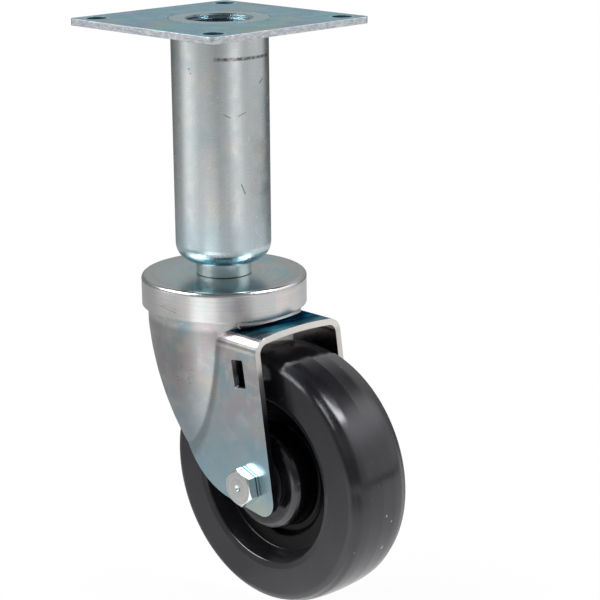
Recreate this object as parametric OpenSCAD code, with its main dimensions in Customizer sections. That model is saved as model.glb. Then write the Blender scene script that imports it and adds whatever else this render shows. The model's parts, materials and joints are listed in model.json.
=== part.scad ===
// Swivel castor: a square bolt-on plate, a screw-adjusted leg and a pressed
// fork that swivels on two ball rings and carries a moulded wheel.
// Origin at the centre of the plate's top face, +Z up, wheel trailing to +X.
// All lengths are millimetres and all angles are degrees.

/* [Mounting plate] */
// Side of the square plate
plate_w = 101.6; // [98:0.1:125]
// Sheet thickness of the plate
plate_t = 3.2; // [2.5:0.1:5]
// Radius of the plate's corners
plate_corner_r = 3; // [1:0.5:6]
// From a bolt hole's centre to the two nearest sides of the plate
hole_edge = 9.525; // [8:0.025:12]
// Diameter of the bolt holes
hole_d = 9.52; // [7:0.02:11]

/* [Leg tube] */
// Outer diameter of the leg tube
tube_od = 47.1; // [44:0.1:50]
// Diameter of the tube's flared end at the plate's top face
flare_d = 48.4; // [47.6:0.1:52]
// Diameter of the bore that the stem's head runs in
bore_d = 31.8; // [30:0.1:34]
// From the plate's top face to the tube's mouth
leg_len = 118.5; // [110:0.5:140]
// Radius of the rounded foot of the tube
foot_r = 9; // [4:0.5:9]
// Length of the guide at the mouth
mouth_len = 4.4; // [3:0.1:8]

/* [Adjusting stem] */
// Diameter of the stem's plain neck
neck_d = 27.4; // [25:0.1:28]
// Length of neck that shows between the mouth and the cap
neck_show = 6.7; // [5.5:0.1:25]
// Depth of the stem's head below the plate's top face
head_depth = 62; // [58:0.5:64]
// Length of the stem's head
head_len = 26; // [18:0.5:27]
// Diameter of the king pin below the neck
pin_d = 18; // [16:0.1:19]

/* [Head cap] */
// Outer diameter of the cap
cap_od = 81.8; // [80:0.1:90]
// Height of the cap
cap_h = 14.7; // [13:0.1:17]
// Sheet thickness of the cap
cap_t = 2; // [2:0.1:3]
// Radius of the cap's top edge
cap_edge_r = 2; // [1:0.1:3]
// Radial gap between the cap's wall and the fork's crown
dust_gap = 0.8; // [0.8:0.1:3]

/* [Swivel bearing] */
// Diameter of the swivel balls
ball_d = 6.35; // [5.5:0.05:7]
// Depth of a ball in each race
ball_sink = 0.925; // [0.6:0.025:1.2]
// Radius of the upper ring of balls
upper_ring_r = 29; // [27:0.25:30.5]
// Radius of the lower ring of balls
lower_ring_r = 17; // [16:0.25:19]
// Thickness of the upper race
upper_race_t = 2.2; // [2:0.1:3]
// Thickness of the lower race
lower_race_t = 3; // [2:0.1:4]
// Thickness of the washer on the king pin
king_washer_t = 1.8; // [1:0.1:3]
// Height of the king nut
king_nut_h = 8; // [6:0.5:9]
// King nut, across flats
king_nut_af = 27; // [25:0.5:29]

/* [Fork] */
// Sheet thickness of the fork
sheet_t = 3.2; // [2.5:0.1:4]
// Radius of the crown's top edge
crown_edge_r = 5; // [4.2:0.1:6]
// Rise of the crown above the middle of the arms' top
crown_rise = 8.5; // [8:0.1:11]
// Hollow fillet between the crown and the arms' arched top
crown_fillet_r = 2.4; // [1:0.1:3]
// Large radius of the crown's bulging wall, seen from the side
bulge_r = 255; // [230:5:320]
// Outer radius of the bend between the arms' top and the legs
bend_r = 8; // [5:0.1:10]
// Radius of the arch across the arms' top
arch_r = 200; // [100:5:400]
// From the swivel axis to the arms' front edge
arm_reach = 52; // [48:0.1:58]
// Depth of the crown's skirt below the arms' top
skirt_drop = 5.5; // [4:0.1:8]
// From the swivel axis to the start of the skirt's lower edge
skirt_reach = 22.5; // [20:0.1:25]
// Radius where the skirt meets the leg's lead edge
skirt_r = 9; // [4:0.5:12]
// Rounding of the leg's heel, below the lead edge
heel_r = 40; // [25:1:50]
// Rounding of the leg's tip
tip_r = 8.1; // [6:0.1:10]
// Width of the slot in the near leg
slot_w = 7.8; // [5.6:0.1:9]
// Height of the slot in the near leg
slot_h = 13.8; // [10:0.1:15]
// Lean of the slot, along the leg's front edge
slot_lean = 10; // [6:0.5:12]

/* [Wheel] */
// Diameter over the tread
wheel_d = 127; // [120:0.5:134]
// Width of the wheel
wheel_w = 38.1; // [34:0.1:42]
// Fork arms' underside to the top of the tread
wheel_gap = 8.9; // [5:0.1:14]
// Horizontal distance from the swivel axis to the axle
trail = 44.65; // [44:0.05:50]
// Radius of the recess in each side, at its rim
recess_r = 42; // [39:0.5:46]
// Depth of the recess
recess_depth = 10; // [8:0.1:12]
// Radius of the hub
hub_r = 25; // [23.5:0.1:28]
// Rounding of the hub's end
hub_edge_r = 5; // [2:0.1:6]
// Length of the hub
hub_len = 39.7; // [38.2:0.1:43]

/* [Axle] */
// Diameter of the axle bolt
axle_d = 11; // [9:0.1:12]
// Axle bolt's head and nut, across flats
bolt_af = 16.6; // [16:0.1:19]
// Height of the bolt's head
bolt_head_h = 5.8; // [4:0.1:8]
// Height of the axle nut
axle_nut_h = 9.4; // [7:0.1:11]
// Thickness of the lock washer
lock_washer_t = 2.6; // [1.8:0.1:3.5]
// Outer diameter of the sleeve between the legs
sleeve_d = 16; // [15:0.1:17]
// Length of the bushes between hub and legs
hub_bush_len = 5.35; // [3.5:0.1:6]

/* [Wheel bearing] */
// Diameter of the bearing rollers
roller_d = 4.76; // [4:0.02:5]
// Length of the bearing rollers
roller_len = 28; // [20:0.5:30]
// Number of bearing rollers
roller_count = 10; // [8:1:10]
// Wall of the steel liner in the hub
liner_t = 2.04; // [1.2:0.02:2.2]

/* [Hidden] */
$fn = 96;

// Clearances
slide_gap = 0.08;   // radial, between parts that slide or turn on each other
roll_gap = 0.1;     // radial, round a roller
ball_gap = 0.15;    // round a ball in its race
end_gap = 0.35;     // between a turning face and a fixed one
seat_gap = 0.05;    // radial, between parts that fit over each other without turning
pass_gap = 2;       // radial, where the king pin passes the fork
eps = 0.5;          // how far a cut runs past the face it opens

// Distance between bolt holes, the same both ways
hole_pitch = plate_w - 2 * hole_edge;

// Heights down the swivel axis
plate_under_z = -plate_t;
mouth_z = -leg_len;
cap_top_z = mouth_z - neck_show;
cap_under_z = cap_top_z - cap_t;
upper_race_z = cap_under_z - upper_race_t;
race_space = ball_d - 2 * ball_sink;
crown_top_z = upper_race_z - race_space;
crown_under_z = crown_top_z - sheet_t;
lower_race_z = crown_under_z - race_space;
lower_race_under_z = lower_race_z - lower_race_t;
king_nut_top_z = lower_race_under_z - king_washer_t;
king_nut_under_z = king_nut_top_z - king_nut_h;
arm_top_z = crown_top_z - crown_rise;
skirt_z = arm_top_z - skirt_drop;
axle_z = arm_top_z - sheet_t - wheel_gap - wheel_d / 2;

// Radii about the swivel axis
cap_r = cap_od / 2;
cap_in_r = cap_r - cap_t;
barrel_r = cap_in_r - dust_gap;
pin_r = pin_d / 2;
neck_r = neck_d / 2;
ball_r = ball_d / 2;
groove_r = ball_r + ball_gap;
lower_rim_r = lower_ring_r + groove_r + 2.6;

// Across the axle
hub_half = hub_len / 2;
leg_in_y = hub_half + end_gap + hub_bush_len;
leg_out_y = leg_in_y + sheet_t;
axle_r = axle_d / 2;
sleeve_r = sleeve_d / 2;
roller_r = roller_d / 2;
roller_ring_r = sleeve_r + roller_r + roll_gap;
liner_in_r = sleeve_r + roller_d + 2 * roll_gap;
liner_out_r = liner_in_r + liner_t;
bush_flange_t = 1.6;

// Side view of the fork's leg, measured from the axle
front_tip = [19.9, -14.4];
heel = [-34.2, -7.1];
front_knee_drop = 7.5;   // below the arms' top, where the front edge starts to lean
slot_from_front = 11.8;  // front edge to the middle of the slot
slot_below_top = 20.4;   // top of the arms to the middle of the slot
form_low_z = axle_z - 30;  // the crown and arms run down to here before their sides are cut

function unit(v) = v / norm(v);

// Points of the arc that rounds corner b, between its neighbours a and c
function corner_arc(a, b, c, r, steps) =
    let (u = unit(a - b), v = unit(c - b), half = acos(u * v) / 2,
         centre = b + unit(u + v) * r / sin(half),
         from = b + u * r / tan(half) - centre,
         to = b + v * r / tan(half) - centre,
         start = atan2(from.y, from.x),
         sweep = (atan2(to.y, to.x) - start + 540) % 360 - 180)
    [for (i = [0 : steps]) let (t = start + sweep * i / steps) centre + r * [cos(t), sin(t)]];

// Outline through corners given as [x, y, rounding radius]
function rounded(corners, steps = 8) =
    let (n = len(corners))
    [for (i = [0 : n - 1])
        let (a = corners[(i + n - 1) % n], b = corners[i], c = corners[(i + 1) % n])
        each b[2] == 0 ? [[b.x, b.y]]
            : corner_arc([a.x, a.y], [b.x, b.y], [c.x, c.y], b[2], steps)];

// Number of balls that fit a ring
function ring_count(ring_r, size) = floor(180 / asin(size / 2 / ring_r));

// Turns a shape drawn about Z to lie along the axle, drawn +Z pointing to -Y
module at_axle() translate([trail, 0, axle_z]) rotate([90, 0, 0]) children();

// Round groove that a ring of balls runs in, its centre on the balls' centres
module ball_groove(ring_r, z) {
    rotate_extrude() translate([ring_r, z]) circle(groove_r);
}

module ball_ring(ring_r, z) {
    count = ring_count(ring_r, ball_d + 2 * ball_gap);
    for (i = [0 : count - 1])
        rotate([0, 0, 360 * i / count]) translate([ring_r, 0, z]) sphere(ball_r, $fn = 32);
}

// Hexagon with its corners chamfered at one or both ends, standing on z = 0
module hexagon(af, h, bottom_chamfer = false) {
    corner = af / sqrt(3);
    flat = af / 2 * 0.96;
    rise = (corner - flat) * tan(30);
    low = bottom_chamfer ? flat : corner;
    low_rise = bottom_chamfer ? rise : 0;
    intersection() {
        cylinder(h = h, r = corner, $fn = 6);
        rotate_extrude()
            polygon([[0, 0], [low, 0], [corner, low_rise], [corner, h - rise], [flat, h], [0, h]]);
    }
}

module mounting_plate() {
    inset = plate_w / 2 - plate_corner_r;
    color("lightsteelblue") difference() {
        translate([0, 0, plate_under_z]) union() {
            translate([-plate_w / 2, -inset, 0]) cube([plate_w, 2 * inset, plate_t]);
            translate([-inset, -plate_w / 2, 0]) cube([2 * inset, plate_w, plate_t]);
            for (x = [-inset, inset], y = [-inset, inset])
                translate([x, y, 0]) cylinder(h = plate_t, r = plate_corner_r);
        }
        translate([0, 0, plate_under_z]) cylinder(h = plate_t, d1 = tube_od, d2 = flare_d);
        for (x = [-1, 1], y = [-1, 1])
            translate([x * hole_pitch / 2, y * hole_pitch / 2, plate_under_z - eps])
                cylinder(h = plate_t + 2 * eps, d = hole_d);
    }
}

// Tube, flared into the plate at its top and closed in to a guide at its foot
module leg_tube() {
    tube_r = tube_od / 2;
    bore_r = bore_d / 2;
    mouth_r = neck_r + slide_gap;
    step = bore_r - mouth_r;
    mouth_chamfer = 0.8;
    foot = corner_arc([tube_r, plate_under_z], [tube_r, mouth_z], [0, mouth_z], foot_r, 10);
    color("lightsteelblue") rotate_extrude()
        polygon(concat(
            [[flare_d / 2, 0], [tube_r, plate_under_z]],
            foot,
            [[mouth_r, mouth_z],
             [mouth_r, mouth_z + mouth_len],
             [bore_r, mouth_z + mouth_len + step],
             [bore_r, -mouth_chamfer],
             [bore_r + mouth_chamfer, 0]]));
}

// Turned stem: a head that screws in the tube, a plain neck and the king pin
module adjusting_stem() {
    head_r = bore_d / 2 - slide_gap;
    chamfer = 1.2;
    head_under_z = -head_depth - head_len;
    pin_end_z = king_nut_under_z - 1.6;
    color("lightsteelblue") rotate_extrude()
        polygon([[0, -head_depth], [head_r - chamfer, -head_depth],
                 [head_r, -head_depth - chamfer], [head_r, head_under_z + chamfer],
                 [head_r - chamfer, head_under_z], [neck_r, head_under_z],
                 [neck_r, cap_top_z], [pin_r, cap_top_z],
                 [pin_r, pin_end_z + chamfer], [pin_r - chamfer, pin_end_z], [0, pin_end_z]]);
}

// Drawn cap that shades the upper balls
module head_cap() {
    edge = corner_arc([0, cap_top_z], [cap_r, cap_top_z], [cap_r, cap_top_z - cap_h], cap_edge_r, 6);
    rim_z = cap_top_z - cap_h;
    color("silver") rotate_extrude()
        polygon(concat([[pin_r, cap_top_z]], edge,
                       [[cap_r, rim_z], [cap_in_r, rim_z],
                        [cap_in_r, cap_under_z], [pin_r, cap_under_z]]));
}

module upper_race() {
    in_r = upper_ring_r - groove_r - 1.6;
    color("gainsboro") difference() {
        rotate_extrude() translate([in_r, upper_race_z])
            square([cap_in_r - seat_gap - in_r, upper_race_t]);
        ball_groove(upper_ring_r, upper_race_z - race_space / 2);
    }
}

module upper_balls() {
    color("white") ball_ring(upper_ring_r, crown_top_z + race_space / 2);
}

module lower_balls() {
    color("white") ball_ring(lower_ring_r, lower_race_z + race_space / 2);
}

// Turned cup that the lower balls run in
module lower_race() {
    in_r = pin_r + seat_gap;
    rim_w = 2;
    rim_z = crown_under_z - 1;
    color("gainsboro") difference() {
        rotate_extrude()
            polygon([[in_r, lower_race_under_z], [lower_rim_r - 1, lower_race_under_z],
                     [lower_rim_r, lower_race_under_z + 1], [lower_rim_r, rim_z],
                     [lower_rim_r - rim_w, rim_z], [lower_rim_r - rim_w, lower_race_z],
                     [in_r, lower_race_z]]);
        ball_groove(lower_ring_r, lower_race_z + race_space / 2);
    }
}

module king_washer() {
    in_r = pin_r + seat_gap;
    out_r = king_nut_af / 2 + 1.5;
    color("silver") rotate_extrude()
        translate([in_r, king_nut_top_z]) square([out_r - in_r, king_washer_t]);
}

module king_nut() {
    color("silver") difference() {
        translate([0, 0, king_nut_top_z]) mirror([0, 0, 1]) hexagon(king_nut_af, king_nut_h);
        translate([0, 0, king_nut_under_z - eps]) cylinder(h = king_nut_h + 2 * eps, r = pin_r);
    }
}

// Crown wall, bulging outwards and drawing in towards the legs' tips
function barrel_outline(inset) =
    let (top = crown_top_z - inset, wall = barrel_r - inset, low_z = form_low_z,
         start_z = crown_top_z - crown_edge_r, steps = 10)
    concat([[0, top]],
           corner_arc([0, top], [wall, top], [wall, low_z], crown_edge_r - inset, 6),
           [for (i = [1 : steps])
               let (z = start_z + (low_z - start_z) * i / steps)
               [wall - bulge_r + sqrt(pow(bulge_r, 2) - pow(start_z - z, 2)), z]],
           [[0, low_z]]);

// Section across the arms: straight sides, round bends and an arched top
function arm_outline(inset) =
    let (half = leg_out_y - inset, bend = bend_r - inset, arch = arch_r - inset,
         arch_z = arm_top_z - arch_r, bend_y = leg_out_y - bend_r,
         bend_z = arch_z + sqrt(pow(arch - bend, 2) - pow(bend_y, 2)),
         turn = atan2(bend_z - arch_z, bend_y), steps = 8)
    concat([[-half, form_low_z], [half, form_low_z]],
           [for (i = [0 : steps])
               let (t = turn * i / steps) [bend_y, bend_z] + bend * [cos(t), sin(t)]],
           [for (i = [1 : steps - 1])
               let (t = turn + (180 - 2 * turn) * i / steps) [0, arch_z] + arch * [cos(t), sin(t)]],
           [for (i = [steps : -1 : 0])
               let (t = turn * i / steps) [-bend_y, bend_z] + bend * [-cos(t), sin(t)]]);

// Crown and arms as one form, drawn inwards by the given distance
module fork_form(inset) {
    rotate_extrude() polygon(barrel_outline(inset));
    rotate([90, 0, 90]) linear_extrude(trail + front_tip.x + eps) polygon(arm_outline(inset));
}

// Fills the corner where the crown rises from the arms' arched top
module crown_fillet() {
    r = crown_fillet_r;
    half = leg_out_y - bend_r;
    foot_z = arm_top_z - arch_r + sqrt(pow(arch_r, 2) - pow(half, 2));
    sunk = sheet_t / 2;
    intersection() {
        rotate_extrude() difference() {
            translate([barrel_r - sunk, foot_z - sunk]) square(r + sunk);
            translate([barrel_r + r, foot_z + r]) circle(r);
        }
        translate([0, -half, foot_z - sunk]) cube([arm_reach, 2 * half, r + sunk]);
    }
}

// Side view of the fork, cut right through both legs
module fork_side() {
    front = [trail + front_tip.x, axle_z + front_tip.y];
    heel_at = [trail + heel.x, axle_z + heel.y];
    far = cap_r;
    rotate([90, 0, 0]) linear_extrude(4 * barrel_r, center = true)
        polygon(rounded([[-far, 0, 0], [arm_reach, 0, 0],
                         [arm_reach, arm_top_z - front_knee_drop, 30],
                         [front.x, front.y, tip_r], [heel_at.x, heel_at.y, heel_r],
                         [-skirt_reach, skirt_z, skirt_r], [-far, skirt_z, 0]], 10));
}

module leg_slot() {
    w = slot_w / 2;
    h = slot_h / 2;
    corner = 0.8;
    translate([arm_reach - slot_from_front, 0, arm_top_z - slot_below_top])
        rotate([0, -slot_lean, 0]) rotate([90, 0, 0])
            linear_extrude(2 * barrel_r)
                polygon(rounded([[-w, -h, corner], [w, -h, corner], [w, h, corner], [-w, h, corner]], 4));
}

module fork() {
    color("lightsteelblue") difference() {
        intersection() {
            union() {
                fork_form(0);
                crown_fillet();
            }
            fork_side();
        }
        fork_form(sheet_t);
        translate([0, 0, crown_under_z - eps])
            cylinder(h = sheet_t + 2 * eps, r = pin_r + pass_gap);
        ball_groove(upper_ring_r, crown_top_z + race_space / 2);
        ball_groove(lower_ring_r, lower_race_z + race_space / 2);
        at_axle() cylinder(h = 4 * leg_out_y, r = axle_r + seat_gap, center = true);
        leg_slot();
    }
}

module axle_bolt() {
    tail = 3;
    far_end = leg_out_y + lock_washer_t + axle_nut_h + tail;
    hex_turn = 41;
    color("lightsteelblue") at_axle() {
        difference() {
            translate([0, 0, leg_out_y]) rotate([0, 0, hex_turn]) hexagon(bolt_af, bolt_head_h);
            translate([0, 0, leg_out_y + bolt_head_h - 0.9]) cylinder(h = 1, r1 = 0.4, r2 = 2);
        }
        translate([0, 0, -far_end]) rotate_extrude()
            polygon([[0, 0], [axle_r - 0.8, 0], [axle_r, 0.8],
                     [axle_r, far_end + leg_out_y + 1], [0, far_end + leg_out_y + 1]]);
    }
}

module axle_lock_washer() {
    split_w = 1.4;
    color("silver") at_axle() translate([0, 0, -leg_out_y - lock_washer_t]) difference() {
        cylinder(h = lock_washer_t, r = bolt_af / 2 + 0.6);
        translate([0, 0, -eps]) cylinder(h = lock_washer_t + 2 * eps, r = axle_r + 2 * seat_gap);
        translate([0, -split_w / 2, -eps]) cube([bolt_af, split_w, lock_washer_t + 2 * eps]);
    }
}

module axle_nut() {
    color("lightsteelblue") at_axle()
        translate([0, 0, -leg_out_y - lock_washer_t - axle_nut_h]) difference() {
            hexagon(bolt_af, axle_nut_h, bottom_chamfer = true);
            translate([0, 0, -eps]) cylinder(h = axle_nut_h + 2 * eps, r = axle_r);
        }
}

// Tube that the bolt clamps between the two legs
module axle_sleeve() {
    in_r = axle_r + 2 * seat_gap;
    color("silver") at_axle() rotate_extrude()
        translate([in_r, -leg_in_y]) square([sleeve_r - in_r, 2 * leg_in_y]);
}

// Flanged bush that keeps the hub off one leg
module hub_bush(side) {
    in_r = sleeve_r + slide_gap;
    boss_r = in_r + 3.2;
    flange_r = liner_out_r + 0.6;
    inner = hub_half + end_gap;
    color("dimgray") at_axle() mirror([0, 0, side < 0 ? 1 : 0]) rotate_extrude()
        polygon([[in_r, inner], [flange_r, inner], [flange_r, inner + bush_flange_t],
                 [boss_r, inner + bush_flange_t + 0.6], [boss_r, leg_in_y], [in_r, leg_in_y]]);
}

module near_hub_bush() hub_bush(1);

module far_hub_bush() hub_bush(-1);

// Half section of the wheel as [radius, distance from the middle plane, rounding]
function wheel_side() =
    let (r = wheel_d / 2, w = wheel_w / 2, floor_w = w - recess_depth, pocket_w = floor_w - 4)
    [[r, 0, 0],
     [r - 0.3, w - 10, 30],
     [r - 1, w - 4.8, 3],
     [r - 2.4, w - 2.8, 1.2],
     [r - 2.9, w, 1.8],
     [recess_r + 3, w - 0.2, 0],
     [recess_r, w - 0.8, 1.2],
     [recess_r - 3.9, floor_w, 1],
     [recess_r - 10.9, floor_w - 0.6, 1.2],
     [recess_r - 12.4, pocket_w, 1.4],
     [hub_r + 0.6, pocket_w, 1.6],
     [hub_r, hub_half, hub_edge_r]];

module wheel() {
    side = wheel_side();
    n = len(side);
    section = concat(side, [[liner_out_r, hub_half, 0], [liner_out_r, -hub_half, 0]],
                     [for (i = [n - 1 : -1 : 1]) [side[i][0], -side[i][1], side[i][2]]]);
    color("dimgray") at_axle() rotate_extrude() polygon(rounded(section, 5));
}

module bearing_liner() {
    half = hub_half - 0.6;
    color("gainsboro") at_axle() rotate_extrude()
        translate([liner_in_r, -half]) square([liner_t, 2 * half]);
}

// Moulded cage that keeps the rollers apart
module roller_cage() {
    half = roller_len / 2 + 3;
    wall = roller_d - 1.5;
    in_r = roller_ring_r - wall / 2;
    color("gray") at_axle() difference() {
        rotate_extrude() translate([in_r, -half]) square([wall, 2 * half]);
        for (i = [0 : roller_count - 1])
            rotate([0, 0, 360 * i / roller_count]) translate([roller_ring_r, 0, 0])
                cylinder(h = roller_len + 0.4, r = roller_r + roll_gap, center = true);
    }
}

module bearing_rollers() {
    color("white") at_axle() for (i = [0 : roller_count - 1])
        rotate([0, 0, 360 * i / roller_count]) translate([roller_ring_r, 0, 0])
            cylinder(h = roller_len, r = roller_r, center = true);
}

mounting_plate();
leg_tube();
adjusting_stem();
head_cap();
upper_race();
upper_balls();
fork();
lower_balls();
lower_race();
king_washer();
king_nut();
axle_bolt();
axle_lock_washer();
axle_nut();
axle_sleeve();
near_hub_bush();
far_hub_bush();
wheel();
bearing_liner();
roller_cage();
bearing_rollers();
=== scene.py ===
"""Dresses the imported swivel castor: zinc plated steel, black moulded wheel, pale studio."""
import json
import math

import bmesh
import bpy
from mathutils import Matrix, Vector


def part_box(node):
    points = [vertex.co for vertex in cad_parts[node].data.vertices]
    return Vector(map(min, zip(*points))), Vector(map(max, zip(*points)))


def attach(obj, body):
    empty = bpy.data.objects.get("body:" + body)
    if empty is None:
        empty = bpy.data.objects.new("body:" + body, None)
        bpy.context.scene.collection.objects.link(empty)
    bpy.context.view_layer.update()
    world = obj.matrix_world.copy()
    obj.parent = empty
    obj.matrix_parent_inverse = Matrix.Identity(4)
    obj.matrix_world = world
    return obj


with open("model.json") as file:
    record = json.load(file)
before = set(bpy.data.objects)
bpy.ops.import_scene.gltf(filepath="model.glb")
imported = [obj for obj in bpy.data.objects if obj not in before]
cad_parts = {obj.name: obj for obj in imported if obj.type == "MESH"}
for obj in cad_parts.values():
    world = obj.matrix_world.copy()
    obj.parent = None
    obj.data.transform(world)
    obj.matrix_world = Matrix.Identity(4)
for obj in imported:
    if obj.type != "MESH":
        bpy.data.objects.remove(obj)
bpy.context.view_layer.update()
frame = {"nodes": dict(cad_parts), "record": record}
nodes = frame["nodes"]
scene = bpy.context.scene
scene.view_settings.view_transform = "Standard"

# Camera: where it stands and how it looks, from the photograph's perspective
camera_place = Vector((0.63567, -0.57759, 0.10640))
view_azimuth = math.radians(45.24)
view_elevation = math.radians(16.04)
view_roll = math.radians(-0.419)
lens_mm = 107.675
sensor_mm = 36
nearest_seen = 0.05

# Places on the castor in millimetres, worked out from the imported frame
MM = 1000
foot_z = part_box("leg_tube")[0].z * MM
cap_top_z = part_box("head_cap")[1].z * MM
wheel_low, wheel_high = (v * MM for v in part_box("wheel"))
axle = (wheel_low + wheel_high) / 2
wheel_r = (wheel_high.z - wheel_low.z) / 2

# Sizes in millimetres that the part's source has too
wheel_half = 19.05
hub_r = 25
leg_out_y = 28.75
leg_face_y = -leg_out_y
sheet_t = 3.2
leg_in_y = leg_out_y - sheet_t
arm_front_x = 52
arm_under_z = -145.6
barrel_r = 38.1
barrel_top_z = -138.9
bulge_r = 255
slot_x, slot_z = 40.2, -162.8
slot_half_x, slot_half_z = 3.9, 6.9
tube_r = 23.55
flare_r = 24.2
bore_r = 15.9
hole_place = 41.275

# More places in millimetres that the finishes use
hole_rim_r = 5
bore_seen_z = -70
scuff_z = -16.9
head_foot_y = leg_face_y - 0.9
head_ring_r = 5.6
head_shadow_r = 7.2
recess_out_r = 38.1
shoulder_y = 9
scratch_r = 56.5


def make_camera():
    back = Vector((math.sin(view_azimuth) * math.cos(view_elevation),
                   -math.cos(view_azimuth) * math.cos(view_elevation),
                   math.sin(view_elevation)))
    right = Vector((math.cos(view_azimuth), math.sin(view_azimuth), 0))
    up = back.cross(right)
    right, up = (right * math.cos(view_roll) + up * math.sin(view_roll),
                 up * math.cos(view_roll) - right * math.sin(view_roll))
    data = bpy.data.cameras.new("camera")
    data.lens = lens_mm
    data.sensor_width = sensor_mm
    data.clip_start = nearest_seen
    camera = bpy.data.objects.new("camera", data)
    turn = Matrix((right, up, back)).transposed().to_4x4()
    camera.matrix_world = Matrix.Translation(camera_place) @ turn
    bpy.context.collection.objects.link(camera)
    scene.camera = camera


make_camera()


class Nodes:
    """A node tree and short names for the nodes that go into it."""

    def __init__(self, tree):
        self.tree = tree

    def node(self, kind, **settings):
        made = self.tree.nodes.new(kind)
        for key, value in settings.items():
            setattr(made, key, value)
        return made

    def put(self, socket, value):
        """Links the socket to another one or sets its value; a colour comes without its alpha."""
        if isinstance(value, bpy.types.NodeSocket):
            self.tree.links.new(value, socket)
        elif isinstance(value, (tuple, list)) and len(value) == 3 and socket.type == "RGBA":
            socket.default_value = (*value, 1)
        else:
            socket.default_value = value

    def math(self, operation, *values, clamp=False):
        made = self.node("ShaderNodeMath", operation=operation, use_clamp=clamp)
        for socket, value in zip(made.inputs, values):
            self.put(socket, value)
        return made.outputs[0]

    def plus(self, a, b):
        return self.math("ADD", a, b)

    def minus(self, a, b):
        return self.math("SUBTRACT", a, b)

    def times(self, a, b):
        return self.math("MULTIPLY", a, b)

    def size_of(self, value):
        return self.math("ABSOLUTE", value)

    def long_side(self, a, b):
        """The long side of a right triangle with sides a and b."""
        return self.math("SQRT", self.plus(self.times(a, a), self.times(b, b)))

    def most(self, values):
        total = values[0]
        for value in values[1:]:
            total = self.math("MAXIMUM", total, value)
        return total

    def ease(self, value, low, high, to_low=0.0, to_high=1.0):
        made = self.node("ShaderNodeMapRange", interpolation_type="SMOOTHSTEP")
        for socket, item in zip(made.inputs, (value, low, high, to_low, to_high)):
            self.put(socket, item)
        return made.outputs[0]

    def distance(self, a, b):
        made = self.node("ShaderNodeVectorMath", operation="DISTANCE")
        self.put(made.inputs[0], a)
        self.put(made.inputs[1], b)
        return made.outputs["Value"]

    def between(self, share, a, b):
        """The number that lies the given share of the way from a to b."""
        made = self.node("ShaderNodeMix", data_type="FLOAT")
        self.put(made.inputs["Factor"], share)
        self.put(made.inputs["A"], a)
        self.put(made.inputs["B"], b)
        return made.outputs[0]

    def mix(self, share, a, b, blend="MIX"):
        """The same for colours."""
        made = self.node("ShaderNodeMix", data_type="RGBA", blend_type=blend)
        self.put(made.inputs["Factor"], share)
        self.put(made.inputs["A"], a)
        self.put(made.inputs["B"], b)
        return made.outputs["Result"]

    def join(self, share, a, b):
        """The same for shaders."""
        made = self.node("ShaderNodeMixShader")
        for socket, value in zip(made.inputs, (share, a, b)):
            self.put(socket, value)
        return made.outputs[0]


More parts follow.
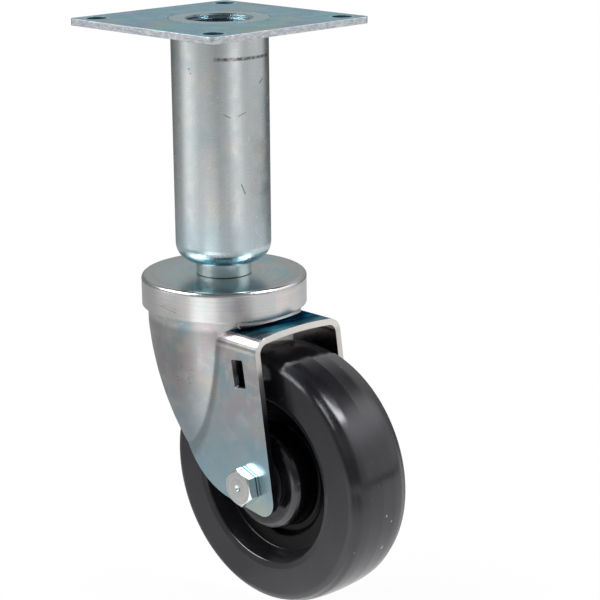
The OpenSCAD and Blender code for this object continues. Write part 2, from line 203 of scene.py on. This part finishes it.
class Finish(Nodes):
    """A material and short names for the nodes that build it, with places in millimetres."""

    def __init__(self, name, metallic=1.0):
        self.material = bpy.data.materials.new(name)
        self.material.use_nodes = True
        super().__init__(self.material.node_tree)
        self.shader = self.tree.nodes["Principled BSDF"]
        self.put(self.shader.inputs["Metallic"], metallic)
        coords = self.node("ShaderNodeTexCoord")
        scale = self.node("ShaderNodeVectorMath", operation="SCALE")
        self.put(scale.inputs[0], coords.outputs["Object"])
        self.put(scale.inputs["Scale"], MM)
        self.place = scale.outputs[0]
        split = self.node("ShaderNodeSeparateXYZ")
        self.put(split.inputs[0], self.place)
        self.x, self.y, self.z = split.outputs
        face = self.node("ShaderNodeSeparateXYZ")
        self.put(face.inputs[0], coords.outputs["Normal"])
        self.nx, self.ny, self.nz = face.outputs

    def vector(self, x, y, z):
        made = self.node("ShaderNodeCombineXYZ")
        for socket, value in zip(made.inputs, (x, y, z)):
            self.put(socket, value)
        return made.outputs[0]

    def noise(self, scale, detail=2.0, rough=0.5, place=None, seed=0.0):
        made = self.node("ShaderNodeTexNoise", noise_dimensions="4D")
        self.put(made.inputs["Vector"], self.place if place is None else place)
        self.put(made.inputs["W"], seed)
        self.put(made.inputs["Scale"], scale)
        self.put(made.inputs["Detail"], detail)
        self.put(made.inputs["Roughness"], rough)
        return made.outputs["Fac"]

    def sway(self, level, noise, swing):
        """The level, moved up and down by the noise, half the swing each way at most."""
        return self.plus(level, self.times(self.minus(noise, 0.5), swing))

    def over(self, base, color, mask, amount=1):
        """The colour laid over the base where the mask is 1, with the given amount of cover."""
        return self.mix(mask if amount == 1 else self.times(mask, amount), base, color)

    def near(self, point, radius, soft=0.5):
        """1 inside a ball round the point, easing to 0 at its edge."""
        return self.ease(self.distance(self.place, point), radius * (1 - soft), radius, 1, 0)

    def stroke(self, start, end, width):
        """1 along a short line, easing to 0 at 0.6 of the width to each side."""
        start, end = Vector(start), Vector(end)
        along = end - start
        offset = self.node("ShaderNodeVectorMath", operation="SUBTRACT")
        self.put(offset.inputs[0], self.place)
        self.put(offset.inputs[1], start)
        run = self.node("ShaderNodeVectorMath", operation="DOT_PRODUCT")
        self.put(run.inputs[0], offset.outputs[0])
        self.put(run.inputs[1], along / along.length_squared)
        share = self.math("MULTIPLY", run.outputs["Value"], 1.0, clamp=True)
        back = self.node("ShaderNodeVectorMath", operation="SCALE")
        self.put(back.inputs[0], along)
        self.put(back.inputs["Scale"], share)
        gap = self.distance(offset.outputs[0], back.outputs[0])
        return self.ease(gap, 0.15 * width, 0.6 * width, 1, 0)

    def radius_about_z(self):
        return self.long_side(self.x, self.y)

    def radius_about_axle(self):
        return self.long_side(self.minus(self.x, axle.x), self.minus(self.z, axle.z))

    def ring_place(self, along, across, up):
        """Coordinates that follow a round wall: angle, radius and height, each scaled."""
        turn = self.math("ARCTAN2", self.y, self.x)
        return self.vector(self.times(turn, along), self.times(self.radius_about_z(), across),
                           self.times(self.z, up))

    def surface(self, color, rough, height, depth, edge=0.25):
        """Joins colour, roughness, a bump of the given depth and softened edges (millimetres)."""
        self.put(self.shader.inputs["Base Color"], color)
        self.put(self.shader.inputs["Roughness"], rough)
        if isinstance(edge, bpy.types.NodeSocket):
            edge_radius = self.times(edge, 1 / MM)
        else:
            edge_radius = edge / MM
        bevel = self.node("ShaderNodeBevel", samples=4)
        self.put(bevel.inputs["Radius"], edge_radius)
        bump = self.node("ShaderNodeBump")
        self.put(bump.inputs["Strength"], 0.5)
        self.put(bump.inputs["Distance"], depth / MM)
        self.put(bump.inputs["Height"], height)
        self.put(bump.inputs["Normal"], bevel.outputs[0])
        self.put(self.shader.inputs["Normal"], bump.outputs[0])
        return self.material


def zinc_tints(f, base, teal, warm, size=0.06, seed=0.0):
    """Zinc plating's soft patches of teal and warm grey over its base colour."""
    cool = f.ease(f.noise(size, 3, 0.55, seed=seed), 0.48, 0.66)
    pale = f.ease(f.noise(size * 1.4, 3, 0.55, seed=seed + 7), 0.5, 0.68)
    return f.over(f.over(base, teal, cool, 0.8), warm, pale, 0.7)


def plate_zinc():
    f = Finish("plate_zinc")
    f.put(f.shader.inputs["Specular Tint"], (0.62, 0.84, 0.92))
    base = zinc_tints(f, (0.36, 0.48, 0.54), (0.26, 0.46, 0.54), (0.48, 0.52, 0.53), 0.035, 3)
    # Lilac, straw, green and pale patches: noise, where it starts and ends to count, cover, colour
    patches = ((f.noise(0.03, 2, 0.5, seed=11), 0.50, 0.60, 0.75, (0.50, 0.36, 0.60)),
               (f.noise(0.04, 2, 0.5, seed=17), 0.50, 0.62, 0.80, (0.62, 0.52, 0.32)),
               (f.noise(0.05, 2, 0.5, seed=21), 0.52, 0.64, 0.80, (0.22, 0.56, 0.46)),
               (f.noise(0.11, 4, 0.6, seed=23), 0.42, 0.62, 0.70, (0.50, 0.62, 0.68)))
    for noise, low, high, cover, color in patches:
        base = f.over(base, color, f.ease(noise, low, high, 0, cover))
    # A dark ring marks the joint with the flare, and each bolt hole has a pale rim
    r = f.radius_about_z()
    joint = f.times(f.ease(r, flare_r - 0.5, flare_r), f.ease(r, flare_r + 0.1, flare_r + 0.7, 1, 0))
    joint = f.times(joint, f.ease(f.noise(0.1, 2, seed=5), 0.3, 0.5))
    base = f.over(base, (0.10, 0.14, 0.17), joint)
    marks = f.most([f.stroke((22, 9.5, 0), (26, 8, 0), 0.9), f.stroke((39, 7.5, 0), (41, 9.5, 0), 0.5),
                    f.near((-24, -9, 0), 1.2)])
    base = f.over(base, (0.08, 0.09, 0.11), marks)
    to_hole = f.long_side(f.minus(f.size_of(f.x), hole_place), f.minus(f.size_of(f.y), hole_place))
    rim = f.times(f.ease(to_hole, hole_rim_r, hole_rim_r + 0.3),
                  f.ease(to_hole, hole_rim_r + 0.6, hole_rim_r + 1.6, 1, 0))
    base = f.over(base, (0.78, 0.84, 0.86), rim, 0.7)
    # The sheared sides are pale and rougher, and the walls of the bolt holes are darkened with painted
    # shade
    grain = f.noise(0.9, 4, 0.65, seed=1)
    side_noise = f.noise(0.5, 4, 0.7, place=f.vector(f.x, f.y, f.times(f.z, 3)), seed=9)
    sheared = f.mix(f.ease(side_noise, 0.35, 0.65), (0.42, 0.45, 0.49), (0.74, 0.77, 0.80))
    sheared = f.over(sheared, (0.03, 0.09, 0.12), f.ease(to_hole, hole_rim_r, hole_rim_r + 0.6, 1, 0))
    flat = f.ease(f.size_of(f.nz), 0.4, 0.8)
    rough = f.sway(f.between(flat, 0.42, 0.24), grain, 0.2)
    height = f.plus(f.times(grain, 0.3), f.times(side_noise, f.ease(flat, 0, 1, 3, 0)))
    return f.surface(f.mix(flat, sheared, base), rough, height, depth=0.12, edge=0.45)


def tube_zinc():
    f = Finish("tube_zinc")
    base = zinc_tints(f, (0.60, 0.63, 0.64), (0.50, 0.60, 0.62), (0.68, 0.67, 0.63), 0.05, 2)
    # The leg is bluer towards its foot
    base = f.over(base, (0.26, 0.52, 0.66), f.ease(f.z, foot_z + 2, foot_z + 8, 1, 0), 0.75)
    base = f.over(base, (0.50, 0.68, 0.76), f.ease(f.z, foot_z + 9, foot_z + 34, 0.45, 0))
    # The bore's wall is painted with shade: dark on the camera's side, paler on the far one
    bore = f.times(f.ease(f.radius_about_z(), bore_r + 0.4, bore_r + 1.2, 1, 0),
                   f.ease(f.z, bore_seen_z, bore_seen_z + 2))
    bore_shade_color = f.mix(f.ease(f.y, -4, 6), (0.05, 0.08, 0.14), (0.30, 0.44, 0.50))
    base = f.over(base, bore_shade_color, bore, 0.9)
    flare = f.times(f.ease(f.nz, 0.6, 0.9), f.ease(f.z, -1.5, -0.5))
    base = f.over(base, (0.32, 0.48, 0.52), flare)
    # Drawn lines run down the leg, hoops run round it
    lines = f.noise(1.0, 3, 0.6, place=f.ring_place(60, 0.2, 0.03), seed=4)
    hoops = f.noise(1.0, 3, 0.6, place=f.ring_place(1.5, 0.2, 1.6), seed=8)
    grain = f.noise(1.6, 4, 0.7, seed=6)
    specks = f.most([f.stroke((23.2, 3.6, -29.4), (22.7, 6.2, -27.7), 0.9),
                     f.stroke((18.2, -15, -42.7), (20, -12.5, -44.3), 0.5),
                     f.stroke((21.8, -9, -43.8), (23, -5, -42.2), 0.5),
                     f.stroke((22.2, -7.8, -76.8), (22.8, -6.1, -81.4), 0.8),
                     f.near((3.8, -23.2, -21.7), 0.6), f.near((4.6, -23.1, -23.7), 0.5)])
    pits = f.times(f.ease(f.noise(0.8, 2, 0.5, seed=31), 0.70, 0.76), 0.4)
    base = f.over(base, (0.12, 0.12, 0.12), f.most([specks, pits]), 0.7)
    # A dark scuff runs part of the way round, broken up by noise
    arc = [(tube_r * math.cos(math.radians(a)), tube_r * math.sin(math.radians(a)), scuff_z)
           for a in range(-48, 28, 15)]
    scuff = f.most([f.stroke(a, b, 2.0) for a, b in zip(arc, arc[1:])])
    scuff = f.times(scuff, f.ease(f.noise(0.7, 3, seed=14), 0.35, 0.6, 0.35, 1))
    base = f.over(base, (0.06, 0.05, 0.04), scuff, 0.85)
    worn = f.ease(f.noise(0.45, 4, 0.65, seed=51), 0.62, 0.70)
    base = f.over(base, (0.86, 0.88, 0.90), worn, 0.45)
    base = f.over(base, (0.40, 0.45, 0.48), f.ease(lines, 0.56, 0.68), 0.25)
    rough = f.sway(0.27, f.noise(0.15, 3, seed=19), 0.25)
    rough = f.plus(rough, f.times(worn, 0.12))
    height = f.plus(f.plus(f.times(lines, 0.6), f.times(hoops, 0.5)), f.minus(f.times(grain, 0.4), specks))
    return f.surface(base, rough, height, depth=0.035, edge=0.3)


def stem_zinc():
    f = Finish("stem_zinc")
    base = zinc_tints(f, (0.74, 0.78, 0.78), (0.55, 0.74, 0.82), (0.80, 0.76, 0.72), 0.12, 5)
    seam = f.ease(f.z, cap_top_z + 0.1, cap_top_z + 0.5, 1, 0)
    base = f.over(base, (0.02, 0.025, 0.04), seam)
    turned = f.noise(1.0, 2, 0.6, place=f.ring_place(0.6, 0.3, 4), seed=3)
    grain = f.noise(1.5, 3, 0.7, seed=12)
    rough = f.plus(0.22, f.times(grain, 0.16))
    return f.surface(base, rough, f.plus(turned, f.times(grain, 0.6)), depth=0.03)


def cap_zinc():
    f = Finish("cap_zinc")
    top = f.ease(f.nz, 0.5, 0.9)
    top_color = zinc_tints(f, (0.35, 0.45, 0.46), (0.16, 0.44, 0.52), (0.44, 0.43, 0.40), 0.045, 6)
    top_color = f.over(top_color, (0.36, 0.36, 0.34), f.ease(f.radius_about_z(), 26, 38, 0, 0.7))
    wall = zinc_tints(f, (0.60, 0.60, 0.60), (0.50, 0.60, 0.58), (0.70, 0.62, 0.60), 0.06, 9)
    # A bluish patch on the front of the wall is a painted dark reflection
    wall = f.over(wall, (0.25, 0.3, 0.42), f.near((33.5, -23.5, -132), 7, 0.9), 0.35)
    stain = f.most([f.stroke((-0.8, -40.9, -134.5), (9, -39.9, -136.4), 0.9),
                    f.stroke((1.5, -40.9, -133.4), (9, -39.9, -134.8), 0.5)])
    wall = f.over(wall, (0.42, 0.24, 0.22), stain, 0.5)
    # The wall is brushed round about, the top has turned rings
    brush = f.noise(1.0, 4, 0.65, place=f.ring_place(1.1, 0.5, 2.6), seed=2)
    rings = f.noise(1.0, 3, 0.6, place=f.ring_place(0.5, 1.3, 0.5), seed=22)
    fine = f.between(top, brush, rings)
    fine_tone = f.mix(f.ease(fine, 0.3, 0.7), (0.35, 0.36, 0.36), (0.75, 0.75, 0.74))
    color = f.mix(0.2, f.mix(top, wall, top_color), fine_tone, "OVERLAY")
    grain = f.noise(1.2, 4, 0.7, seed=15)
    rough = f.sway(f.between(top, 0.21, 0.22), grain, 0.15)
    height = f.plus(f.times(fine, 0.5), f.times(grain, 0.35))
    return f.surface(color, rough, height, depth=0.03, edge=0.5)


def crease_share(f):
    """1 in the crease between crown and leg, easing to 0 beside it."""
    outer = f.ease(f.size_of(f.y), leg_out_y - 0.8, leg_out_y - 0.3)
    # The crown's wall meets the leg where its radius, shrinking down the leg, reaches the leg's face
    drop = f.minus(barrel_top_z, f.z)
    wall = f.minus(barrel_r, f.math("DIVIDE", f.times(drop, drop), 2 * bulge_r))
    gap = f.size_of(f.minus(f.radius_about_z(), wall))
    close = f.times(f.ease(gap, 1.2, 3.2, 1, 0), f.ease(f.z, arm_under_z - 0.9, arm_under_z + 2.1, 1, 0))
    return f.times(close, outer)


def fork_zinc():
    f = Finish("fork_zinc")
    base = zinc_tints(f, (0.52, 0.54, 0.54), (0.34, 0.50, 0.57), (0.62, 0.55, 0.48), 0.055, 4)
    base = f.over(base, (0.54, 0.45, 0.48), f.ease(f.noise(0.07, 4, 0.6, seed=27), 0.46, 0.60, 0, 0.7))
    base = f.over(base, (0.66, 0.67, 0.64), f.ease(f.noise(0.11, 4, 0.65, seed=35), 0.50, 0.64, 0, 0.6))
    # Leg: bluer low down, a yellowish tip below the bolt, a patch of painted shade below the cap
    base = f.over(base, (0.30, 0.48, 0.56), f.ease(f.z, axle.z + 6, axle.z + 50, 0.7, 0))
    base = f.over(base, (0.62, 0.66, 0.50), f.near((axle.x + 8, leg_face_y, axle.z - 13), 15, 0.8), 0.5)
    base = f.over(base, (0.34, 0.31, 0.33), f.near((26, leg_face_y, -150), 9, 0.9), 0.6)
    # The arm's top is painted with shade under the cap, where its reflections are dimmed too, with
    # blue-green streaks
    flat_top = f.times(f.ease(f.nz, 0.75, 0.95), f.ease(f.z, arm_under_z - 0.4, arm_under_z + 1.1))
    streaks = f.ease(f.noise(1.0, 2, 0.5, place=f.ring_place(1.6, 0.2, 0.0), seed=38), 0.46, 0.62)
    shade_under_cap = f.times(flat_top, f.ease(f.radius_about_z(), 43, 62, 1, 0.4))
    f.put(f.shader.inputs["Specular Tint"], f.mix(shade_under_cap, (1, 1, 1), (0.15, 0.35, 0.48)))
    base = f.over(base, f.mix(streaks, (0.010, 0.035, 0.065), (0.06, 0.30, 0.40)), shade_under_cap)
    # Marks: worn specks low on the barrel and fine pits everywhere
    cells = f.node("ShaderNodeTexVoronoi", feature="F1")
    f.put(cells.inputs["Vector"], f.place)
    f.put(cells.inputs["Scale"], 0.45)
    specks = f.ease(cells.outputs["Distance"], 0.12, 0.26, 1, 0)
    worn = f.times(f.near((9, -36.5, -169), 10, 0.6), specks)
    pits = f.ease(f.noise(0.9, 2, 0.5, seed=33), 0.70, 0.77)
    marks = f.most([worn, f.times(pits, 0.12)])
    base = f.over(base, (0.18, 0.21, 0.23), marks, 0.75)
    # Painted shade darkens the crease between crown and leg; the same share softens the edges there
    crease = crease_share(f)
    base = f.over(base, (0.16, 0.17, 0.17), crease, 0.45)
    # Inside the fork the sheet is darkened with painted shade, most of all low down
    inside = f.times(f.ease(f.size_of(f.y), leg_in_y + 0.4, leg_in_y + 0.8, 1, 0),
                     f.ease(f.z, arm_under_z + 0.4, arm_under_z + 1.2, 1, 0))
    inside_shade_color = f.mix(f.ease(f.z, axle.z + 58, axle.z + 68), (0.05, 0.055, 0.06), (0.40, 0.34, 0.34))
    base = f.over(base, inside_shade_color, inside, 0.9)
    # The sheet's front edge is pale above and darkened with painted shade lower down, and the slot's walls
    # carry a painted highlight
    cut = f.times(f.ease(f.size_of(f.nx), 0.8, 0.95), f.ease(f.x, arm_front_x - 4, arm_front_x - 1))
    cut_color_and_shade = f.mix(f.ease(f.z, axle.z + 34, axle.z + 54), (0.10, 0.11, 0.12), (0.74, 0.72, 0.68))
    base = f.over(base, cut_color_and_shade, cut)
    from_slot_x = f.size_of(f.minus(f.x, slot_x))
    from_slot_z = f.size_of(f.minus(f.z, slot_z))
    slot = f.times(f.ease(from_slot_x, slot_half_x - 0.5, slot_half_x - 0.1, 1, 0),
                   f.ease(from_slot_z, slot_half_z - 1.4, slot_half_z - 0.4, 1, 0))
    slot = f.times(slot, f.ease(f.most([f.nx, f.nz]), 0.8, 0.95))
    base = f.over(base, (0.88, 0.88, 0.88), slot)
    grain = f.noise(1.3, 4, 0.7, seed=18)
    rolled_place = f.vector(f.times(f.x, 0.6), f.times(f.y, 0.6), f.times(f.z, 0.12))
    rolled = f.noise(1.0, 3, 0.6, place=rolled_place, seed=25)
    rough = f.sway(0.30, f.noise(0.12, 3, seed=29), 0.22)
    height = f.plus(f.times(grain, 0.45), f.minus(f.times(rolled, 0.8), f.times(marks, 0.6)))
    # The edges are softened widely in the crease and a little elsewhere
    return f.surface(base, rough, height, depth=0.05, edge=f.plus(0.35, f.times(crease, 1.4)))


def bolt_zinc():
    f = Finish("bolt_zinc")
    base = zinc_tints(f, (0.64, 0.70, 0.70), (0.46, 0.64, 0.68), (0.74, 0.68, 0.62), 0.22, 8)
    r = f.radius_about_axle()
    face = f.ease(f.size_of(f.ny), 0.9, 0.98)
    base = f.over(base, (0.66, 0.60, 0.56), face, 0.45)
    ring = f.times(face, f.ease(f.size_of(f.minus(r, head_ring_r)), 0.2, 0.9, 1, 0))
    base = f.over(base, (0.70, 0.74, 0.76), ring, 0.5)
    # A painted contact shadow: a dark line where the head stands on the leg
    from_foot = f.size_of(f.minus(head_foot_y, f.y))
    line = f.times(f.ease(from_foot, 0.25, 0.6, 1, 0), f.ease(r, head_shadow_r, head_shadow_r + 0.4))
    base = f.over(base, (0.02, 0.04, 0.06), line, 0.9)
    grain = f.noise(1.5, 4, 0.7, seed=5)
    return f.surface(base, f.plus(0.18, f.times(grain, 0.14)), grain, depth=0.03, edge=0.3)


def race_steel():
    f = Finish("race_steel")
    base = f.mix(f.noise(0.1, 3, seed=2), (0.52, 0.53, 0.54), (0.66, 0.66, 0.66))
    ground = f.noise(1.0, 3, 0.6, place=f.ring_place(0.8, 0.4, 3), seed=7)
    return f.surface(base, f.plus(0.16, f.times(ground, 0.12)), ground, depth=0.015)


def ball_steel():
    f = Finish("ball_steel")
    grain = f.noise(0.8, 3, seed=3)
    base = f.mix(grain, (0.70, 0.71, 0.72), (0.82, 0.82, 0.82))
    return f.surface(base, f.times(grain, 0.2), grain, depth=0.004, edge=0.1)


def wheel_black():
    f = Finish("wheel_black", metallic=0)
    f.put(f.shader.inputs["Specular IOR Level"], 0.68)
    r = f.radius_about_axle()
    from_middle = f.size_of(f.y)
    tone = f.ease(f.noise(0.07, 4, 0.6, seed=6), 0.35, 0.7)
    base = f.mix(tone, (0.005, 0.005, 0.0062), (0.009, 0.009, 0.0115))
    # Painted shade in the recess: its colour is near black, its reflections are dimmed and it is rougher
    recess = f.times(f.ease(r, recess_out_r - 0.5, recess_out_r + 0.5, 1, 0),
                     f.ease(r, hub_r - 0.5, hub_r + 0.6))
    recess = f.times(f.ease(from_middle, wheel_half - 2.2, wheel_half - 0.9, 1, 0), recess)
    base = f.over(base, (0.001, 0.001, 0.001), recess)
    f.put(f.shader.inputs["Specular Tint"], f.mix(recess, (0.93, 0.93, 1.0), (0.1, 0.1, 0.1)))
    # Dust and fine specks by noise, larger specks one by one
    base = f.over(base, (0.12, 0.12, 0.12), f.ease(f.noise(0.5, 3, 0.6, seed=41), 0.66, 0.78, 0, 0.25))
    base = f.over(base, (0.22, 0.22, 0.23), f.ease(f.noise(1.5, 2, 0.5, seed=61), 0.71, 0.76, 0, 0.45))
    specks = f.most([f.near((107.3, 2.4, -224.9), 1.0), f.near((106.7, 6.6, -228.9), 0.8),
                     f.near((103.5, -15, -240), 1.0), f.near((102.5, 4.4, -242.9), 1.3),
                     f.stroke((107.1, -3, -208), (107.6, -2, -213), 0.4),
                     f.near((69.9, 0.3, -160.3), 0.5), f.near((71.5, 8.9, -161), 0.4)])
    base = f.over(base, (0.30, 0.30, 0.31), specks, 0.8)
    # Fine turned rings all over and one scratch part of the way round
    scratch = f.times(f.ease(f.size_of(f.minus(r, scratch_r)), 0.1, 0.5, 1, 0),
                      f.ease(f.noise(0.05, 2, seed=44), 0.5, 0.6))
    grain = f.noise(1.1, 4, 0.7, seed=9)
    swirl = f.noise(1.0, 3, 0.6, place=f.vector(f.times(r, 1.6), f.times(f.y, 0.3), 0.0), seed=13)
    rough = f.sway(0.18, f.noise(0.1, 3, seed=16), 0.14)
    rough = f.plus(rough, f.times(recess, 0.12))
    height = f.plus(f.times(grain, 0.5), f.minus(f.times(swirl, 0.2), f.times(scratch, 0.3)))
    # The shoulder is one soft rounding, so its shading is blended widely
    shoulder = f.times(f.ease(r, wheel_r - 7, wheel_r - 5), f.ease(from_middle, shoulder_y, shoulder_y + 3))
    return f.surface(base, rough, height, depth=0.05, edge=f.plus(0.3, f.times(shoulder, 3.7)))


def plain_moulding(name, dark, light, rough):
    f = Finish(name, metallic=0)
    grain = f.noise(1.0, 4, 0.7, seed=4)
    return f.surface(f.mix(grain, dark, light), f.plus(rough, f.times(grain, 0.15)), grain, depth=0.04)


finishes = {
    "plate_zinc": plate_zinc(),
    "tube_zinc": tube_zinc(),
    "stem_zinc": stem_zinc(),
    "cap_zinc": cap_zinc(),
    "fork_zinc": fork_zinc(),
    "bolt_zinc": bolt_zinc(),
    "race_steel": race_steel(),
    "ball_steel": ball_steel(),
    "wheel_black": wheel_black(),
    "cage_nylon": plain_moulding("cage_nylon", (0.48, 0.47, 0.43), (0.60, 0.58, 0.54), 0.45),
    "bush_black": plain_moulding("bush_black", (0.015, 0.015, 0.016), (0.03, 0.03, 0.03), 0.4),
}
for part in frame["record"]["subparts"]:
    mesh = nodes[part["node"]].data
    mesh.materials.clear()
    mesh.materials.append(finishes[part["material_slot"]])


def thread():
    """The thread inside the leg: one helix ridge, from below the mouth to above the stem's travel."""
    pitch, crest_r, root_r = 2.1, 14.5, bore_r - 0.02
    crest_half, root_half = 0.2, 0.9
    top_z, turns, steps = -1.4, 23, 64
    run_out_turns = 0.5
    mesh = bpy.data.meshes.new("leg_thread")
    b = bmesh.new()
    rows = []
    for i in range(turns * steps + 1):
        a = 2 * math.pi * i / steps
        z = top_z - pitch * i / steps
        fade = min(1, i / steps / run_out_turns, (turns * steps - i) / steps / run_out_turns)
        crest = root_r - (root_r - crest_r) * fade
        section = ((root_r, root_half), (crest, crest_half), (crest, -crest_half), (root_r, -root_half))
        rows.append([b.verts.new((r / MM * math.cos(a), r / MM * math.sin(a), (z + dz) / MM))
                     for r, dz in section])
    for low, high in zip(rows, rows[1:]):
        for k in range(3):
            b.faces.new((low[k], low[k + 1], high[k + 1], high[k]))
        b.faces.new((low[3], low[0], high[0], high[3]))
    b.faces.new(rows[0])
    b.faces.new(list(reversed(rows[-1])))
    bmesh.ops.recalc_face_normals(b, faces=b.faces)
    b.to_mesh(mesh)
    piece = bpy.data.objects.new("leg_thread", mesh)
    mesh.materials.append(finishes["tube_zinc"])
    bpy.context.collection.objects.link(piece)
    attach(piece, "leg")


thread()

# Studio: directions are in degrees from the camera's own direction, rising to its right
camera_side = math.degrees(view_azimuth) - 90
studio_centre = Vector((0.02, 0, -0.15))
floor_r = 1.6
floor_corners = 96
floor_gap = 0.0005

# Share of each mirrored ray that the floor's own light takes, and the sky's level in soft light
floor_shine = 0.85
sky_fill = 0.4

# How bright things are that metal and plastic mirror, by direction: the floor close to the castor,
# further out and far out, then the sky
close_levels = [(-150, 0.8), (-118, 0.72), (-72, 0.62), (-38, 1.0), (-10, 2.0), (40, 1.3), (85, 1.0),
                (150, 1.0)]
mid_levels = [(-150, 0.35), (-100, 0.33), (-72, 0.28), (-52, 0.65), (-34, 1.9), (-17, 1.6), (2, 0.6),
              (28, 0.45), (60, 0.85), (84, 1.05), (112, 0.9), (150, 0.6)]
far_levels = [(-150, 0.15), (-115, 0.32), (-80, 1.3), (-42, 0.62), (-4, 0.42), (12, 0.6), (36, 1.4),
              (60, 0.65), (90, 0.33), (140, 0.1)]
sky_levels = [(-175, 0.62), (-140, 0.3), (-90, 0.34), (0, 0.26), (62, 0.3), (80, 1.2), (112, 1.2),
              (130, 0.5), (175, 0.62)]

# The horizon is as bright as the far floor, but brighter to the right, where only the tread mirrors it
skyline = far_levels[:-2] + [(80, 0.8), (112, 0.8), (140, 0.1)]

# Metres from the castor between which one level gives way to the next, the far floor grows dimmer
# and the shadow that the camera sees fades out
close_to_mid = (0.15, 0.37)
mid_to_far = (0.68, 0.8)
far_to_skyline = (1.3, 1.5)
far_dimming = (0.77, 1.37)
shadow_fading = (0.03, 0.22)

# Dark cards on the floor: direction, metres out, radius of the core and of the rim, light left
mid_card = (26, 0.61, 0.09, 0.19, 0.12)
far_cards = [(-4, 0.84, 0.04, 0.17, 0.45), (82, 0.84, 0.1, 0.3, 0.5)]


def ramp(n, around, levels):
    """A smooth ramp through (degrees, level) stops; levels above 1 are reached by the scale."""
    top = max(level for _, level in levels)
    made = n.node("ShaderNodeValToRGB")
    made.color_ramp.interpolation = "EASE"
    marks = made.color_ramp.elements
    marks.remove(marks[1])
    places = [degrees / 360 + 0.5 for degrees, _ in levels]
    marks[0].position = places[0]
    for place in places[1:]:
        marks.new(place)
    for mark, (_, level) in zip(marks, levels):
        mark.color = (level / top,) * 3 + (1,)
    n.put(made.inputs[0], around)
    return n.times(made.outputs[0], top)


def bearing(n, way):
    """Direction round the castor as 0 to 1, with 0.5 towards the camera, and the height."""
    split = n.node("ShaderNodeSeparateXYZ")
    n.put(split.inputs[0], way)
    x, y, z = split.outputs
    turn = n.minus(n.math("ARCTAN2", y, x), math.radians(camera_side))
    share = n.math("DIVIDE", turn, 2 * math.pi)
    return n.math("FRACT", n.plus(share, 0.5)), z


def kinds_of_ray(n):
    """1 for what the camera sees, straight or through something clear, and 1 for what is mirrored."""
    path = n.node("ShaderNodeLightPath")
    seen = n.most([path.outputs["Is Camera Ray"], path.outputs["Is Transmission Ray"]])
    return seen, path.outputs["Is Glossy Ray"]


def studio_world():
    world = bpy.data.worlds.new("studio")
    scene.world = world
    world.use_nodes = True
    n = Nodes(world.node_tree)
    around, up = bearing(n, n.node("ShaderNodeTexCoord").outputs["Generated"])
    # The sky grows brighter with height and is dark overhead
    high = n.times(ramp(n, around, sky_levels), n.ease(up, 0.25, 0.55, 0.8, 1.6))
    high = n.times(high, n.ease(up, 0.58, 0.74, 1, 0.08))
    rise = n.ease(up, -0.10, 0.02)
    level = n.plus(n.times(ramp(n, around, skyline), n.minus(1, rise)), n.times(high, rise))
    seen, glossy = kinds_of_ray(n)
    level = n.between(glossy, sky_fill, level)
    background = n.tree.nodes["Background"]
    n.put(background.inputs["Strength"], n.between(seen, level, 1))
    n.put(background.inputs["Color"], (1, 1, 1))


def softbox(name, azimuth, elevation, distance, width, height, radiance):
    a, e = math.radians(camera_side + azimuth), math.radians(elevation)
    way = Vector((math.cos(a) * math.cos(e), math.sin(a) * math.cos(e), math.sin(e)))
    data = bpy.data.lights.new(name, "AREA")
    data.shape = "RECTANGLE"
    data.size = width
    data.size_y = height
    data.energy = radiance * math.pi * width * height
    lamp = bpy.data.objects.new(name, data)
    lamp.location = studio_centre + way * distance
    lamp.rotation_euler = way.to_track_quat("Z", "Y").to_euler()
    bpy.context.collection.objects.link(lamp)


def studio_floor():
    # The castor hangs by its plate, and the floor lies just below the lowest place that the wheel reaches
    joints = frame["record"]["behaviour"]["joints"]
    reach = max(joint["range_m"][1] for joint in joints if "range_m" in joint)
    middle = Vector((axle.x / MM, 0, wheel_low.z / MM - reach - floor_gap))
    bpy.ops.mesh.primitive_circle_add(vertices=floor_corners, radius=floor_r, fill_type="NGON",
                                      location=middle)
    floor = bpy.context.object
    floor.name = "floor"
    material = bpy.data.materials.new("floor")
    material.use_nodes = True
    floor.data.materials.append(material)
    n = Nodes(material.node_tree)
    paper = n.tree.nodes["Principled BSDF"]
    n.put(paper.inputs["Base Color"], (0.8, 0.8, 0.8))
    n.put(paper.inputs["Roughness"], 0.9)
    n.put(paper.inputs["Specular IOR Level"], 0)
    geometry = n.node("ShaderNodeNewGeometry")
    place = geometry.outputs["Position"]
    around, _ = bearing(n, place)
    far = n.distance(place, middle)

    def lay_card(level, degrees, distance, core, rim, share):
        """The level with a round dark card on it, soft from its core to its rim."""
        turn = math.radians(camera_side + degrees)
        spot = (distance * math.cos(turn), distance * math.sin(turn), middle.z)
        return n.times(level, n.ease(n.distance(place, spot), core, rim, share, 1))

    # Metal and plastic see the floor glow at a level that changes with direction and distance, with three
    # dark cards
    mid = lay_card(ramp(n, around, mid_levels), *mid_card)
    outer = n.times(ramp(n, around, far_levels), n.ease(far, *far_dimming, 1.3, 0.85))
    for far_card in far_cards:
        outer = lay_card(outer, *far_card)
    mirrored = n.between(n.ease(far, *close_to_mid), ramp(n, around, close_levels), mid)
    mirrored = n.between(n.ease(far, *mid_to_far), mirrored, outer)
    mirrored = n.between(n.ease(far, *far_to_skyline), mirrored, ramp(n, around, skyline))
    # The castor's shadow shows to the camera near the wheel and fades to plain white further out
    seen, glossy = kinds_of_ray(n)
    clear = n.times(seen, n.ease(far, *shadow_fading, 0.93, 1.0))
    glow = n.node("ShaderNodeEmission")
    n.put(glow.inputs["Strength"], n.between(seen, mirrored, 1.0))
    above = n.join(n.most([clear, n.times(glossy, floor_shine)]), paper.outputs[0], glow.outputs[0])
    # Seen from below, the floor is clear
    nothing = n.node("ShaderNodeBsdfTransparent").outputs[0]
    n.put(n.tree.nodes["Material Output"].inputs[0], n.join(geometry.outputs["Backfacing"], above, nothing))


studio_world()
studio_floor()
softbox("left_key", azimuth=-79, elevation=43, distance=1.1, width=0.85, height=0.52, radiance=9.5)
softbox("right_key", azimuth=76, elevation=53, distance=1.1, width=0.26, height=0.46, radiance=20)
